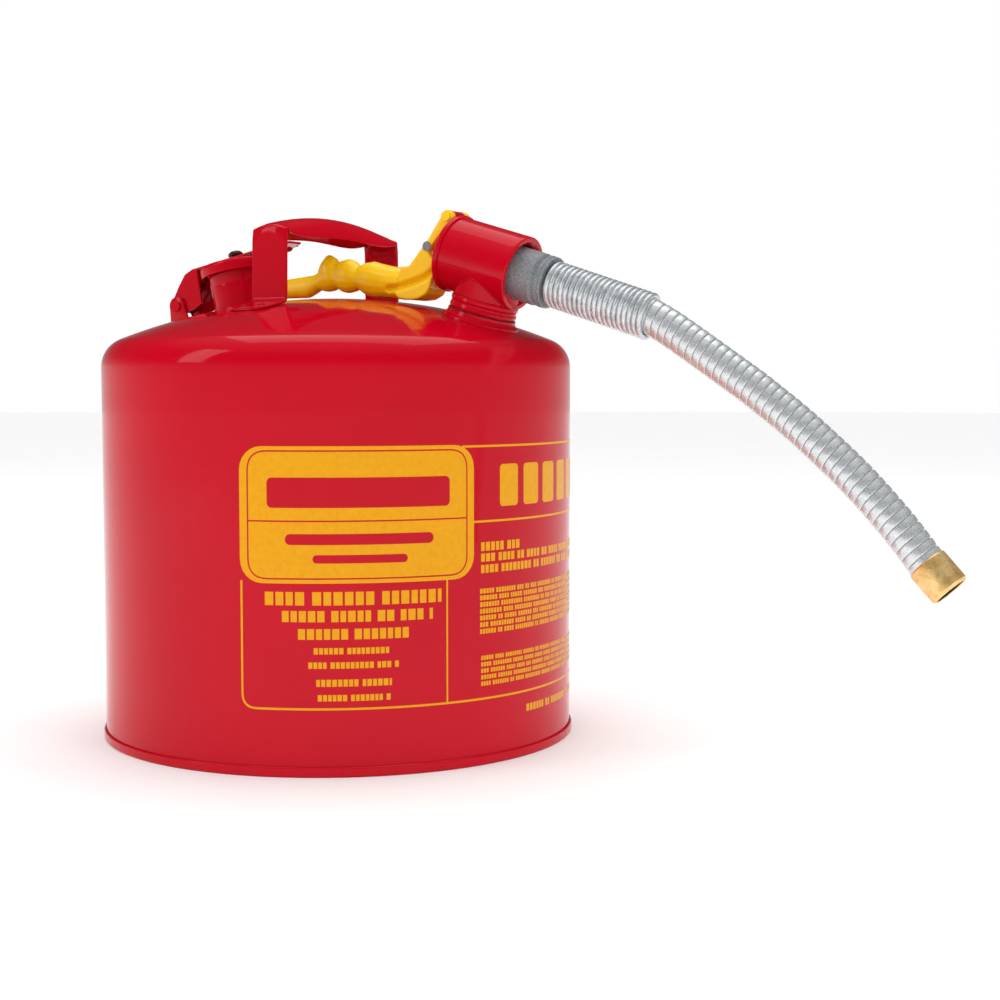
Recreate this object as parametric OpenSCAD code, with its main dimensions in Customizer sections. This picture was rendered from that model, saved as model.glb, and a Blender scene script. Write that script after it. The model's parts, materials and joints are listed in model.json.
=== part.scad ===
// Safety gas can: a steel drum with a domed top, a strap carry handle, a
// self-closing fill cap, and a trigger-worked pour valve with a metal hose.
// The floor is z = 0 under the middle of the drum, +Z is up, and +X points
// from the fill cap to the spout. The carry handle runs along Y.

/* [Can body] */
// Diameter over the bottom chime
can_od = 317.5; // [312:0.5:322]
// Height of the bottom chime
chime_h = 6.5; // [5:0.5:9]
// Height of the top of the straight side
side_top = 245.7; // [235:0.5:255]
// Radius of the rounded shoulder
shoulder_r = 20; // [14:1:26]
// Radius of the domed top
dome_r = 390; // [370:5:420]
// Thickness of the body's sheet steel
sheet = 0.8; // [0.6:0.1:1.2]

/* [Carry handle] */
// Width of the strap
strap_w = 28; // [22:1:32]
// Thickness of the strap
strap_t = 2.2; // [1.6:0.2:2.6]
// Length over the two legs
handle_len = 132; // [125:1:145]
// Height of the strap's corners above the floor
handle_top = 338; // [336:1:344]
// Rise of the grip's middle above its corners
grip_crown = 8; // [4:1:12]
// Depth of the rolled edges in the middle of the grip
grip_roll = 13; // [8:1:13]

/* [Fill opening] */
// Lean of the fill neck away from the spout, in degrees
fill_tilt = 11.7; // [10:0.1:13]
// Outside diameter of the fill neck
fill_od = 42; // [40:0.5:42]
// Height of the fill neck above the dome
fill_h = 30.9; // [30:0.1:30.9]
// Outside diameter of the fill cap
cap_od = 53; // [51:0.5:54]
// How far the cap may lift on its stud to relieve pressure
relief_lift = 1.5; // [0.5:0.1:1.5]

/* [Pour valve] */
// Lean of the pour neck towards the spout, in degrees
pour_tilt = 16.7; // [16:0.1:17.4]
// Height of the valve's axis above the dome
valve_h = 36.5; // [35:0.5:38]
// Outside diameter of the valve's barrel
barrel_od = 48; // [47:0.5:48]
// Bore of the valve seat
seat_bore = 18; // [12:1:20]

/* [Spout] */
// Outside diameter of the metal hose
hose_od = 22.2; // [20:0.2:22.4]
// Outside diameter of the spring guard
guard_od = 29.6; // [29:0.2:31]
// Outside diameter of the brass tip
tip_od = 24.2; // [24:0.1:26]
// Length of the brass tip
tip_len = 21; // [18:1:24]

/* [Hidden] */
$fn = 64;

red = [0.76, 0.05, 0.09];
yellow = [0.96, 0.78, 0.06];
zinc = [0.66, 0.68, 0.70];
steel = [0.55, 0.56, 0.58];
brass = [0.78, 0.60, 0.26];
rubber = [0.10, 0.10, 0.11];

touch = 0.02;   // gap that keeps two faces that meet from overlapping
run = 0.05;     // radial clearance of a running fit
free = 0.3;     // gap between bodies that pass each other

// The drum: the chime stands proud of the side.
body_r = can_od / 2 - 1.55;
dome_cz = side_top - sqrt(pow(dome_r - shoulder_r, 2) - pow(body_r - shoulder_r, 2));
shoulder_end = atan2(side_top - dome_cz, body_r - shoulder_r);
seam_foot = 2;          // bottom edge of the side, inside the chime's fold

// The carry handle.
handle_x = -8;
foot_reach = 26;        // length of a foot, outwards from its leg
foot_lean = asin((handle_len / 2 + foot_reach / 2) / dome_r);
leg_y = handle_len / 2 - strap_t / 2;
grip_z = handle_top - strap_t / 2;
corner_r = 4;

// The fill neck, cap and lever, in the fill neck's own frame.
fill_r = fill_od / 2;
fill_bore = fill_r - 1.4;
gasket_t = 3;
cap_r = cap_od / 2;
cap_z = fill_h + 0.1 + gasket_t;    // underside of the cap's plate
cap_t = 1.4;
dish_z = fill_h - 0.4;              // underside of the dish in the cap's middle
dish_r = 9;
lever_z = cap_z + cap_t + 1.8;      // underside of the lever's top plate
lever_t = 1.6;
lever_w = 22;
stud_r = 2.6;
hinge = [-49.2, 16.2];              // hinge pin of the cap lever
hinge_pin_r = 2.5;
ear_t = 2;

// The pour neck and valve, in the pour neck's own frame: z is out of the dome.
collar_r = 22;
neck_r = 21.6;
neck_bore = 17.2;
boss_h = 4.6;
collar_z = boss_h + 0.6;
collar_h = 9;
barrel_r = barrel_od / 2;
barrel_rear = -30.4;
barrel_front = 21.9;
chamber_r = 19.5;
recess_r = 18.2;
seat_x = 6;             // chamber side of the wall that holds the seat ring
recess_x = 12;          // floor of the recess that the hose coupling enters
stem_r = 3;
rim_t = 2;
fulcrum = [-37, valve_h + 22];
fulcrum_r = 2;
yoke = [-46, valve_h];  // the pin that joins the trigger's fork to the stem
yoke_r = 1.25;
fork_in = 6.2;          // half the gap between the fork's prongs
fork_out = 11.5;

// The spout.
hose_r = hose_od / 2;
coupling_x0 = recess_x + 0.1;
coupling_x1 = 44;
ferrule_x0 = 39;
guard_len = 74;
guard_droop = 18.2;     // fall of the spring guard below level, in degrees
guard_turns = 19;
tip_at = [405, 133.6];
tip_fall = 47.3;        // fall of the tip's axis below level, in degrees

// Centreline of the metal hose, as x and z: out of the coupling, under the
// spring guard, and down in one long sweep to the tip.
HOSE = [[153, 301.4], [159, 299.6], [165, 297.8], [176, 294.6], [188, 291.2], [200, 287.6],
        [212, 283.8], [224, 279.6], [234, 275.2], [246, 268.4], [258, 260.6], [273, 250.6],
        [288, 240.5], [301, 231.6], [313, 222.7], [325, 213.6], [335, 205.4], [345, 196.8],
        [355, 188], [364, 179.6], [372, 171.6], [380, 163.2], [388, 154.4], [396, 144.9],
        [405, 133.6], [412, 126]];

// Points along an arc about c, from angle a to angle b.
function arc(c, r, a, b, n) = [for (i = [0:n]) let (t = a + (b - a) * i / n) c + r * [cos(t), sin(t)]];

// Height of the dome beside the point where a neck stands on it.
function sag(r) = sqrt(dome_r * dome_r - r * r) - dome_r;

// A skin over a row of rings that all have the same number of points.
module skin(rings) {
  n = len(rings[0]);
  m = len(rings);
  sides = [for (i = [0:m - 2], j = [0:n - 1]) let (k = (j + 1) % n)
             [i * n + j, i * n + k, (i + 1) * n + k, (i + 1) * n + j]];
  quads = [for (q = sides) each [[q[0], q[2], q[1]], [q[0], q[3], q[2]]]];
  near_end = [for (j = [0:n - 1]) j];
  far_end = [for (j = [n - 1:-1:0]) (m - 1) * n + j];
  polyhedron([for (r = rings) each r], concat(quads, [near_end, far_end]));
}

// A flat shape in x and z, thickened from y0 to y1.
module plate(y0, y1) {
  translate([0, y1, 0]) rotate([90, 0, 0]) linear_extrude(y1 - y0) children();
}

// A pin along Y through a point in x and z.
module cross_pin(at, r, y0, y1) {
  plate(y0, y1) translate(at) circle(r = r);
}

// A turned part: points are radius and height.
module turned(points) {
  rotate_extrude() polygon(points);
}

// A ring of rectangular section.
module ring(r_in, r_out, z0, z1) {
  turned([[r_in, z0], [r_out, z0], [r_out, z1], [r_in, z1]]);
}

// A coil drawn as a ribbed sleeve of the coil's outer and inner size.
module ribbed(r_in, r_out, z0, z1, turns) {
  pitch = (z1 - z0) / turns;
  groove = (r_out - r_in) * 0.4;
  ribs = [for (i = [0:turns - 1]) each [[r_out, z0 + pitch * (i + 0.2)], [r_out, z0 + pitch * (i + 0.6)],
                                        [r_out - groove, z0 + pitch * (i + 0.9)]]];
  turned(concat([[r_in, z0], [r_out - groove, z0]], ribs, [[r_out - groove, z1], [r_in, z1]]));
}

// Rows of holes through a flame arrester's side, from height z up.
module screen_holes(z, r) {
  for (row = [0:2], side = [0:3])
    translate([0, 0, z + 14 * row]) rotate([90, 0, 45 * side]) cylinder(r = 3, h = 3 * r, center = true);
}

// Frames: on the dome, leaning by an angle towards +X; along the valve; at the tip.
module on_dome(lean) {
  translate([0, 0, dome_cz]) rotate([0, lean, 0]) translate([0, 0, dome_r]) children();
}
module at_fill() { on_dome(-fill_tilt) children(); }
module at_pour() { on_dome(pour_tilt) children(); }
module at_valve() { at_pour() translate([0, 0, valve_h]) rotate([0, 90, 0]) children(); }
module at_tip() { translate([tip_at[0], 0, tip_at[1]]) rotate([0, 90 + tip_fall, 0]) children(); }

// ---- The can ----

function drum_line(inset) = concat(
  arc([body_r - shoulder_r, side_top], shoulder_r - inset, 0, shoulder_end, 8),
  [for (i = [1:20]) let (t = shoulder_end + (90 - shoulder_end) * i / 20)
     [i == 20 ? 0 : (dome_r - inset) * cos(t), dome_cz + (dome_r - inset) * sin(t)]]);

module body_shell() color(red) {
  inner = drum_line(sheet);
  difference() {
    turned(concat([[body_r - sheet, seam_foot], [body_r, seam_foot]], drum_line(0),
                  [for (i = [len(inner) - 1:-1:0]) inner[i]]));
    at_fill() translate([0, 0, -6]) cylinder(r = fill_r + touch, h = 12);
    at_pour() translate([0, 0, -6]) cylinder(r = neck_bore, h = 12);
  }
}

module bottom_pan() color(red) {
  pan_z = chime_h - 0.5;
  in_r = body_r - sheet - touch;
  turned(concat(
    [[0, pan_z], [in_r - 2.6, pan_z], [in_r - 0.8, pan_z - 1.8], [in_r - 0.8, 0], [can_od / 2 - 0.6, 0],
     [can_od / 2, 0.6]],
    arc([can_od / 2 - 0.9, chime_h - 0.9], 0.9, 0, 90, 4),
    [[body_r + touch, chime_h], [body_r + touch, seam_foot - touch], [in_r, seam_foot - touch],
     [in_r, pan_z + sheet], [0, pan_z + sheet]]));
}

// One cross-section of the strap: at is its middle in y and z, lean the angle
// of its run above level, and roll how far its edges turn under.
function strap_ring(at, lean, roll) = let (
  n = 8,
  out = [-sin(lean), cos(lean)],
  edge = [for (i = [0:n]) 2 * i / n - 1],
  face = function (side, u) let (d = side * strap_t / 2 - roll * pow(abs(u), 2.6))
    [handle_x + u * strap_w / 2, at[0] + d * out[0], at[1] + d * out[1]])
  concat([for (u = edge) face(1, u)], [for (i = [n:-1:0]) face(-1, edge[i])]);

// Half of the strap's run, from the tip of a foot to the middle of the grip:
// each entry is y, z, the lean and the roll.
function half_strap() = let (
  foot_r = dome_r + strap_t / 2 + touch,
  foot = [-foot_r * sin(foot_lean), dome_cz + foot_r * cos(foot_lean)],
  along = [cos(foot_lean), sin(foot_lean)],
  tip = foot - along * foot_reach / 2,
  heel = foot + along * (foot_reach / 2 - 4))
  concat(
    [[tip[0], tip[1], foot_lean, 0], [heel[0], heel[1], foot_lean, 0],
     [-leg_y - 1.6, heel[1] + 1.5, 40, 0], [-leg_y - 0.4, heel[1] + 3.4, 70, 0],
     [-leg_y, heel[1] + 6, 90, 0], [-leg_y, grip_z - 12, 90, 0.6]],
    [for (a = [90, 65, 40]) [-leg_y + corner_r * (1 - sin(a)), grip_z - corner_r + corner_r * cos(a), a,
                             4.6 - a / 30]],
    [for (i = [0:7]) let (y = -(leg_y - corner_r) * (1 - i / 7), t = y / leg_y)
       [y, grip_z + grip_crown * (1 - t * t), 14 * -t, 4 + (grip_roll - 4) * (1 - pow(t, 4))]]);

module carry_handle() color(red) {
  half = half_strap();
  other = [for (i = [len(half) - 2:-1:0]) let (s = half[i]) [-s[0], s[1], -s[2], s[3]]];
  skin([for (s = concat(half, other)) strap_ring([s[0], s[1]], s[2], s[3])]);
}

module handle_welds() color(red) {
  for (side = [-1, 1], x = [-6, 6])
    translate([0, 0, dome_cz]) rotate([-side * foot_lean, 0, 0])
      translate([handle_x + x, side * 3, dome_r + strap_t + 2 * touch]) cylinder(r = 2.6, h = 0.5);
}

// ---- The fill opening ----

module fill_neck() color(red) at_fill() {
  lip = 1.3;
  turned(concat(
    [[fill_bore, -6], [fill_r, -6], [fill_r, touch], [fill_r + 2.4, sag(fill_r + 2.4) + touch],
     [fill_r + 2.2, 0.6], [fill_r, 2.4], [fill_r, fill_h - 2.6]],
    arc([fill_r, fill_h - lip], lip, -60, 90, 5),
    [[fill_bore, fill_h]]));
}

module fill_flame_arrester() color(steel) at_fill() {
  r = fill_bore - 1.2;
  difference() {
    turned([[0, -45], [r, -45], [r, 24], [fill_bore - touch, 24], [fill_bore - touch, 25.2],
            [r - 0.8, 25.2], [r - 0.8, 0.2], [r - 0.5, 0.2], [r - 0.5, -44.2], [0, -44.2]]);
    screen_holes(-34, r);
  }
}

module cap_hinge_bracket() color(red) {
  lean = -asin(-hinge[0] / dome_r);
  ear_in = lever_w / 2 + free;
  ear_out = ear_in + ear_t;
  at_fill() difference() {
    for (y = [-ear_out, ear_in]) plate(y, y + ear_t) {
      translate(hinge) circle(r = 6.5);
      polygon([hinge + [-6.3, -0.5], hinge + [6.3, -0.5], [hinge[0] + 9, -1.2], [hinge[0] - 9, -3.2]]);
    }
    cross_pin(hinge, hinge_pin_r + touch, -20, 20);
  }
  on_dome(-fill_tilt + lean) translate([-12, -ear_out - 0.6, touch]) cube([24, 2 * ear_out + 1.2, 1.6]);
}

module cap_hinge_pin() color(steel) at_fill() {
  ear_out = lever_w / 2 + free + ear_t;
  cross_pin(hinge, hinge_pin_r, -ear_out - 1.4, ear_out + 1.4);
  for (y = [-ear_out - 1.4, ear_out + touch]) cross_pin(hinge, 3.6, y, y + 1.4 - touch);
}

module cap_spring() color(steel) at_fill() {
  wire = 1.8;
  difference() {
    union() {
      cross_pin(hinge, hinge_pin_r + 0.3 + wire, -6, 6);
      plate(-6, -6 + wire)
        polygon([hinge + [2, 0], hinge + [8, -15.5], hinge + [9.8, -15.2], hinge + [4.6, 1]]);
      plate(6 - wire, 6)
        polygon([hinge + [1, 2], hinge + [4.6, 0], hinge + [17.6, 18.4], hinge + [15.8, 19]]);
    }
    cross_pin(hinge, hinge_pin_r + 0.3, -20, 20);
  }
}

// The cap lever: a channel whose side plates carry the hinge, with a lift tab.
module cap_lever() color(red) at_fill() {
  side = lever_w / 2;
  over_cap = lever_z - 0.1;
  top = lever_z + lever_t;
  cheek = [hinge + [-6.8, -1], hinge + [-6.4, 2.6], hinge + [2.2, 12.8], hinge + [10.2, 20.6],
           [-34, top - 0.6], [-32, top], [44, top], [40, over_cap - 1.6], [28, over_cap - 1.6],
           [28, over_cap], [-27.8, over_cap], [-28.2, 14], hinge + [14, -5.4], hinge + [1, -6.9]];
  difference() {
    union() {
      for (y = [-side, side - lever_t]) plate(y, y + lever_t) {
        translate(hinge) circle(r = 7);
        polygon(cheek);
      }
      plate(-side + 0.1, side - 0.1)
        polygon([hinge + [2.2, 12.8], hinge + [10.2, 20.6], [-34, top - 0.6], [-32, top], [47, top],
                 [47, lever_z], [-31.5, lever_z], [-33, lever_z - 0.5], hinge + [11.4, 19.2],
                 hinge + [3.4, 11.6]]);
      plate(-7, 7) polygon([[47, top], [52, top], [52, top - lever_t], [47, top - lever_t]]);
    }
    cross_pin(hinge, hinge_pin_r + run, -20, 20);
    translate([0, 0, lever_z - 2]) cylinder(r = stud_r + 0.4, h = 8);
  }
}

module relief_spring() color(steel) at_fill()
  ribbed(stud_r + 3, stud_r + 5, dish_z + cap_t + touch, lever_z - touch, 3);

module fill_cap() color(red) at_fill() {
  rim_z = fill_h - 3.2;
  top = cap_z + cap_t;
  turned(concat(
    [[stud_r + touch, dish_z], [dish_r, dish_z], [dish_r + 2.6, cap_z], [cap_r - 1.4, cap_z],
     [cap_r - 1.4, rim_z], [cap_r, rim_z]],
    arc([cap_r - 1.8, top - 1.8], 1.8, 0, 90, 5),
    [[dish_r + 2, top], [dish_r - 0.6, dish_z + cap_t], [stud_r + touch, dish_z + cap_t]]));
}

module cap_gasket() color(rubber) at_fill() ring(16, cap_r - 1.6, cap_z - gasket_t, cap_z - touch);

module cap_stud() color(steel) at_fill() {
  head_z = lever_z + lever_t + relief_lift + 1;
  turned(concat(
    [[0, dish_z - 2], [5, dish_z - 2], [5, dish_z - touch], [stud_r, dish_z - touch],
     [stud_r, head_z], [5.2, head_z]],
    arc([3.2, head_z + 1.4], 2, 0, 90, 4),
    [[0, head_z + 3.4]]));
}

// ---- The pour neck and valve ----

module pour_neck_boss() color(red) at_pour()
  turned([[neck_bore, sag(neck_bore) + touch], [collar_r + 3.4, sag(collar_r + 3.4) + touch],
          [collar_r + 3.2, 0.4], [collar_r + 1.2, 1.6], [collar_r + 0.4, 3], [collar_r + 0.3, boss_h],
          [neck_bore, boss_h]]);

module neck_gasket() color(rubber) at_pour()
  ring(neck_bore, collar_r - 0.6, boss_h + touch, collar_z - touch);

module valve_collar() color(red) at_pour() {
  r_in = neck_r - 2.2 + touch;
  top = collar_z + collar_h;
  turned([[r_in, collar_z], [collar_r - 0.5, collar_z], [collar_r, collar_z + 0.5], [collar_r, top - 0.5],
          [collar_r - 0.5, top - touch], [r_in, top - touch]]);
}

module pour_flame_arrester() color(steel) at_pour() {
  r = neck_bore - 1.8;
  difference() {
    turned([[0, -60], [r, -60], [r, 3], [neck_bore - 0.1, 3], [neck_bore - 0.1, 4.2], [r - 0.8, 4.2],
            [r - 0.8, -59.2], [0, -59.2]]);
    screen_holes(-48, r);
  }
}

module valve_body() color(red) {
  top = collar_z + collar_h;
  difference() {
    union() {
      at_valve() turned(concat(
        [[0, barrel_rear], [barrel_r, barrel_rear]],
        arc([barrel_r - 1, barrel_front - 1], 1, 0, 90, 3),
        [[0, barrel_front]]));
      at_pour() {
        translate([0, 0, top]) cylinder(r = neck_r, h = valve_h - top);
        translate([0, 0, collar_z]) cylinder(r = neck_r - 2.2, h = valve_h - collar_z);
      }
    }
    at_valve() turned([[0, barrel_rear - 1], [chamber_r, barrel_rear - 1], [chamber_r, seat_x],
                       [12.1, seat_x], [12.1, recess_x], [recess_r, recess_x], [recess_r, barrel_front + 1],
                       [0, barrel_front + 1]]);
    at_pour() {
      translate([0, 0, collar_z - 1]) cylinder(r = neck_bore, h = valve_h - collar_z);
      ring(neck_r - 2.2, collar_r + 1, collar_z - 1, top);
    }
  }
}

module valve_rear_cap() color(red) {
  rear = barrel_rear - rim_t;
  r = barrel_r + 1.2;
  lug = fork_in - free;
  difference() {
    union() {
      at_valve() turned([[0, rear - 3.6], [7.5, rear - 3.6], [7.5, rear], [r - 0.8, rear], [r, rear + 0.8],
                         [r, barrel_rear + 2], [barrel_r + touch, barrel_rear + 2],
                         [barrel_r + touch, barrel_rear - touch], [chamber_r - 0.1, barrel_rear - touch],
                         [chamber_r - 0.1, barrel_rear + 3], [0, barrel_rear + 3]]);
      at_pour() plate(-lug, lug) {
        translate(fulcrum) circle(r = 4);
        polygon([fulcrum + [-3.6, -1.5], fulcrum + [1.6, 3.6], [rear + 0.5, valve_h + 24],
                 [rear + 0.5, valve_h + 11], fulcrum + [1.4, -9]]);
      }
    }
    at_valve() translate([0, 0, rear - 5]) cylinder(r = stem_r + run, h = 14);
    at_valve() translate([0, 0, rear - 5]) cylinder(r = 5, h = 9);
    at_pour() cross_pin(fulcrum, fulcrum_r + touch, -10, 10);
  }
}

module stem_packing() color(rubber) at_valve()
  ring(stem_r + run, 5 - touch, barrel_rear - 0.6, barrel_rear + 1.96);
module gland_nut() color(brass) at_valve() translate([0, 0, barrel_rear - 5.6]) difference() {
  cylinder(r = 5 - touch, h = 4.96);
  translate([0, 0, -1]) cylinder(r = stem_r + run, h = 8);
}

module valve_seat_ring() color(brass) at_valve()
  turned([[seat_bore / 2, seat_x - 1.8], [14.5, seat_x - 1.8], [14.5, seat_x - touch],
          [12.1 - touch, seat_x - touch],
          [12.1 - touch, recess_x - 0.5], [seat_bore / 2, recess_x - 0.5]]);

module fulcrum_pin() color(steel) at_pour() {
  end = fork_out + free;
  cross_pin(fulcrum, fulcrum_r, -end - 1.2, end + 1.2);
  for (y = [-end - 1.2, end]) cross_pin(fulcrum, 3.2, y, y + 1.2);
}

module return_spring() color(steel) at_valve()
  ribbed(7.6, 9.6, barrel_rear + 3 + touch, poppet_back - touch, 7);

// ---- The valve stem ----

poppet_front = seat_x - 1.9;        // sealing face, just off the seat ring
poppet_back = poppet_front - 4.6;

module valve_stem() color(zinc) difference() {
  head = yoke[0];
  at_valve() turned([[0, head - 4.6], [3.8, head - 4.6], [4.5, head - 4], [4.5, head + 4],
                     [stem_r, head + 4.6], [stem_r, poppet_front + 5.5], [0, poppet_front + 5.5]]);
  at_pour() plate(-6, 6) translate(yoke - [yoke_r + run, 1.5]) square([2 * (yoke_r + run), 4.4]);
}

module poppet_disc() color(brass) at_valve() ring(stem_r + touch, 13.4, poppet_back, poppet_front - 2);
module poppet_gasket() color(rubber) at_valve()
  ring(stem_r + touch, 12.8, poppet_front - 2 + touch, poppet_front);
module stem_nut() color(zinc) at_valve() difference() {
  translate([0, 0, poppet_front + touch]) cylinder(r = 5.6, h = 3.4, $fn = 6);
  cylinder(r = stem_r + touch, h = 20, center = true);
}

// ---- The trigger ----

// Cross-sections of the finger grip: x, top, bottom and half width.
GRIP = [[-54, 304, 296.4, 3.6], [-51.5, 305.6, 294.4, 5], [-44, 306.4, 293.4, 5.8], [-24, 308.4, 293.4, 6],
        [-18.5, 309, 296, 6.2], [-14, 311, 298.4, 6.6], [-11, 318.4, 297.6, 7.8], [-7, 322.6, 297, 8.6],
        [-3, 320.6, 297.6, 8.6], [0.5, 316.8, 299, 7.4], [4.5, 318, 296.6, 8.4], [9.5, 319, 295.7, 8.8],
        [14, 317.6, 296.6, 8.4], [18, 313.6, 298, 7.4], [23, 315.8, 294.4, 8.4], [30, 316.5, 292.2, 9],
        [38, 314.4, 292, 9], [46, 312.6, 291.4, 9.6], [54, 311.8, 290.2, 10.6], [62, 311.2, 290, 11.2]];

module trigger() color(yellow) {
  sides = 16;
  heel = [[-62, 0.4], [-58, -1.6], [-50, -0.4], [-43, 2.4], [-38.4, 6.6], [-37, 11]];
  prong = concat(heel, [[-37, 24], [-38.8, 29], [-44.2, 33], [-43, 37.4], fulcrum + [-2.6, -14],
                        fulcrum + [3.6, -2.4], fulcrum + [-4.2, -1], fulcrum + [-9, -15.4],
                        fulcrum + [-14, -26.6], [-56, 20.8], [-62, 18.6]]);
  difference() {
    union() {
      skin([for (s = GRIP) let (c = (s[1] + s[2]) / 2, h = (s[1] - s[2]) / 2)
              [for (i = [0:sides - 1]) let (a = 360 * i / sides) [s[0], s[3] * cos(a), c + h * sin(a)]]]);
      at_pour() {
        for (y = [-fork_out, fork_in]) plate(y, y + fork_out - fork_in) {
          translate(fulcrum) circle(r = 4.3);
          polygon(prong);
        }
        plate(-fork_in - 0.1, fork_in + 0.1)
          polygon(concat(heel, [[-38.6, 17], [-46, 22], [-56, 20.8], [-62, 18.6]]));
      }
    }
    at_pour() {
      cross_pin(fulcrum, fulcrum_r + run, -20, 20);
      cross_pin(yoke, yoke_r + touch, -20, 20);
    }
  }
}

module stem_cross_pin() color(steel) at_pour() cross_pin(yoke, yoke_r, -fork_out - 0.4, fork_out + 0.4);

// ---- The spout ----

module hose_coupling() color(zinc) at_valve()
  turned([[9.5, coupling_x0], [17.4, coupling_x0], [17.4, 36.6], [16.8, 37.4], [15.2, 37.6],
          [15.2, coupling_x1],
          [hose_r + 0.2, coupling_x1], [hose_r + 0.2, 30], [9.5, 30]]);

module spring_ferrule() color(zinc) at_valve() ring(15.2 + touch, 16.7, ferrule_x0, coupling_x1);

module spring_guard() color(zinc) {
  at_valve() translate([0, 0, coupling_x1 + touch]) rotate([0, guard_droop - pour_tilt, 0])
    ribbed(guard_od / 2 - 2, guard_od / 2, 0.4, guard_len, guard_turns);
}

module flex_hose() color(zinc) {
  sides = 10;
  n = len(HOSE);
  skin([for (i = [0:n - 1]) let (
          run_dir = HOSE[min(i + 1, n - 1)] - HOSE[max(i - 1, 0)],
          up = [-run_dir[1], run_dir[0]] / norm(run_dir))
        [for (j = [0:sides - 1]) let (a = 360 * j / sides, p = HOSE[i] + hose_r * sin(a) * up)
           [p[0], hose_r * cos(a), p[1]]]]);
}

module brass_tip() color(brass) at_tip() {
  r = tip_od / 2;
  difference() {
    turned([[0, 0], [r - 0.8, 0], [r, 0.8], [r, tip_len - 1.4], [r - 1.4, tip_len], [0, tip_len]]);
    translate([0, 0, -1]) cylinder(r = hose_r + 0.2, h = tip_len - 4);
    translate([0, 0, tip_len - 6]) cylinder(r = hose_r - 1.4, h = 8);
  }
}

body_shell();
bottom_pan();
carry_handle();
handle_welds();
fill_neck();
fill_flame_arrester();
cap_hinge_bracket();
cap_hinge_pin();
cap_spring();
pour_neck_boss();
neck_gasket();
valve_collar();
pour_flame_arrester();
valve_body();
valve_rear_cap();
stem_packing();
gland_nut();
valve_seat_ring();
fulcrum_pin();
return_spring();
hose_coupling();
spring_ferrule();
spring_guard();
flex_hose();
brass_tip();
trigger();
stem_cross_pin();
valve_stem();
poppet_disc();
poppet_gasket();
stem_nut();
cap_lever();
relief_spring();
fill_cap();
cap_gasket();
cap_stud();
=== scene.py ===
"""The looks of a safety gas can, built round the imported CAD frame.

Sizes are in millimetres in the local frames of the CAD source, and a frame's
matrix turns them into metres. Azimuths are in degrees about the drum's axis,
from +X towards +Y.
"""

import json
import random
from math import asin, atan2, cos, degrees, exp, pi, radians, sin, sqrt, tan

import bmesh
import bpy
from mathutils import Matrix, Vector, noise


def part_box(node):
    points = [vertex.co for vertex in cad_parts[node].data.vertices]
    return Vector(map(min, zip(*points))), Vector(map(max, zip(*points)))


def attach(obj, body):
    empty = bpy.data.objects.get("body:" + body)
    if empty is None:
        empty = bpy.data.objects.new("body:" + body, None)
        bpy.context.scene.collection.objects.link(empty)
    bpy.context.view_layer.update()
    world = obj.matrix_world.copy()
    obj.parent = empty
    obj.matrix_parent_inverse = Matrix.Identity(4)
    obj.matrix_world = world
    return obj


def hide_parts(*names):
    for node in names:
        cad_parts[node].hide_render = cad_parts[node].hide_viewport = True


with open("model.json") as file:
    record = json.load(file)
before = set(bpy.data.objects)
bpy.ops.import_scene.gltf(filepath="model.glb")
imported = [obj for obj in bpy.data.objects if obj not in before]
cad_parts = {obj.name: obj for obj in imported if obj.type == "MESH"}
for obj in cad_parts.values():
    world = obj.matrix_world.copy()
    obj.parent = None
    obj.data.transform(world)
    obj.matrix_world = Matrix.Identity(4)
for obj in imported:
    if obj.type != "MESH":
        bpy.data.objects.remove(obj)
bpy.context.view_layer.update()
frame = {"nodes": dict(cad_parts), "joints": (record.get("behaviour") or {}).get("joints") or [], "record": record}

MM = 0.001
SCENE = bpy.context.scene
JOINTS = {joint["name"]: joint for joint in frame["joints"]}
MOUNTS = {mount["name"]: mount for mount in frame["record"]["mounts"]}

# ---- Camera ----

EYE = Vector((0.678, -0.955, 0.234))
HEADING = Vector((-0.5, 0.866, 0))
PITCH = radians(3.84)


def make_camera():
    data = bpy.data.cameras.new("camera")
    data.lens = 61.6
    data.sensor_width = 36
    data.clip_start = 0.05
    data.clip_end = 60
    camera = bpy.data.objects.new("camera", data)
    SCENE.collection.objects.link(camera)
    look = HEADING.normalized() * cos(PITCH) - Vector((0, 0, sin(PITCH)))
    camera.location = EYE
    camera.rotation_euler = look.to_track_quat("-Z", "Y").to_euler()
    SCENE.camera = camera


make_camera()

# ---- Local frames ----


def local_frame(origin, up):
    """A frame in millimetres at a point: z along up, and y across the can."""
    z = Vector(up).normalized()
    y = Vector((0, 1, 0))
    turn = Matrix((y.cross(z), y, z)).transposed().to_4x4()
    return Matrix.Translation(origin) @ turn @ Matrix.Scale(MM, 4)


def through(joint, up, x, z):
    """The frame along up in which a hinge's pin stands at (x, 0, z)."""
    turned = local_frame((0, 0, 0), up)
    return local_frame(Vector(JOINTS[joint]["pos_m"]) - turned @ Vector((x, 0, z)), up)


CAN = Matrix.Scale(MM, 4)
HINGE = Vector((-49.2, 0, 16.2))
FULCRUM = Vector((-37, 0, 58.5))
VALVE_H = 36.5
along_valve = -Vector(JOINTS["stem_pull"]["axis"])
FILL = through("cap_hinge", JOINTS["cap_relief"]["axis"], HINGE.x, HINGE.z)
POUR = through("trigger_squeeze", along_valve.cross((0, 1, 0)), FULCRUM.x, FULCRUM.z)
VALVE = local_frame(POUR @ Vector((0, 0, VALVE_H)), along_valve)
tip_mount = MOUNTS["spout_tip"]
TIP = local_frame(Vector(tip_mount["pos_m"]) - 0.010 * Vector(tip_mount["axis"]), tip_mount["axis"])

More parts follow.
